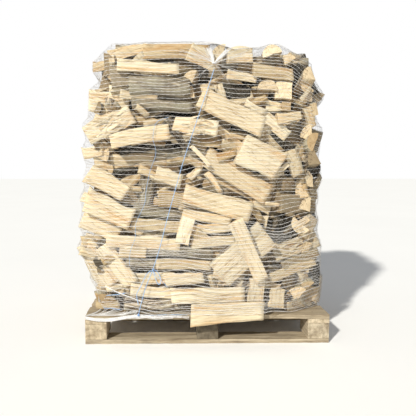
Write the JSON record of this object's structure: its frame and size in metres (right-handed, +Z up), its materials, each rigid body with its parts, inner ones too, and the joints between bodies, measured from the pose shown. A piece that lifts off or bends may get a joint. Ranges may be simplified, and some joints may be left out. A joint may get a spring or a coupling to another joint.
{
  "type": "pallet of firewood",
  "caption": "Wooden block pallet with a loose heap of split firewood in a white knitted net, gathered at the top and tied down with pale blue twine.",
  "frame": {"origin": "middle of the pallet's underside, on the ground, at the middle bottom board", "axes": "+Z up; +Y from the front to the back across the pallet's 800 mm side, with the bow and the gathered top of the net at the front, -Y; +X to the right along its 1200 mm side"},
  "size_m": [1.3116, 0.9046, 1.4786],
  "materials": {
    "pallet_wood": "weathered rough-sawn softwood",
    "split_firewood": "dry split wood",
    "heap_firewood": "dry split wood with some bark",
    "white_net": "white knitted plastic thread",
    "blue_twine": "pale blue plastic twine"
  },
  "bodies": {
    "root": {"block_back_centre": "pallet_wood", "block_back_left": "pallet_wood", "block_back_right": "pallet_wood", "block_front_centre": "pallet_wood", "block_front_left": "pallet_wood", "block_front_right": "pallet_wood", "block_middle_centre": "pallet_wood", "block_middle_left": "pallet_wood", "block_middle_right": "pallet_wood", "bottom_board_1": "pallet_wood", "bottom_board_2": "pallet_wood", "bottom_board_3": "pallet_wood", "deck_board_1": "pallet_wood", "deck_board_2": "pallet_wood", "deck_board_3": "pallet_wood", "deck_board_4": "pallet_wood", "deck_board_5": "pallet_wood", "firewood_heap": "heap_firewood", "log_01_apron": "split_firewood", "log_02_sill": "split_firewood", "log_03_steep": "split_firewood", "log_04_long_middle": "split_firewood", "log_05_broad_low": "split_firewood", "log_06_left_bright": "split_firewood", "log_07_big_upper": "split_firewood", "log_08_left_mid": "split_firewood", "log_09_broad_mid": "split_firewood", "log_10_slope_left": "split_firewood", "log_11_bark_upper": "split_firewood", "log_12_left_top": "split_firewood", "log_13_light_upper": "split_firewood", "log_14_left_high": "split_firewood", "log_15_low_centre": "split_firewood", "log_16_bright_upper": "split_firewood", "log_17_slope_middle": "split_firewood", "log_18_tan_left": "split_firewood", "log_19_tan_upper": "split_firewood", "log_20_end_square": "split_firewood", "log_21_dropped_end": "split_firewood", "log_22_rising_low": "split_firewood", "log_23_shaded_upper": "split_firewood", "log_24_shoulder_bark": "split_firewood", "log_25_shaded_mid": "split_firewood", "log_26_bright_centre": "split_firewood", "log_27_long_low": "split_firewood", "log_28_grey_steep": "split_firewood", "log_29_end_mid": "split_firewood", "log_30_rising_under": "split_firewood", "log_31_end_top": "split_firewood", "log_32_steep_left": "split_firewood", "log_33_crest": "split_firewood", "net": "white_net", "net_gather": "white_net", "net_hem": "white_net", "stringer_board_1": "pallet_wood", "stringer_board_2": "pallet_wood", "stringer_board_3": "pallet_wood", "twine_lower": "blue_twine", "twine_main": "blue_twine", "twine_thin": "blue_twine"}
  },
  "joints": []
}
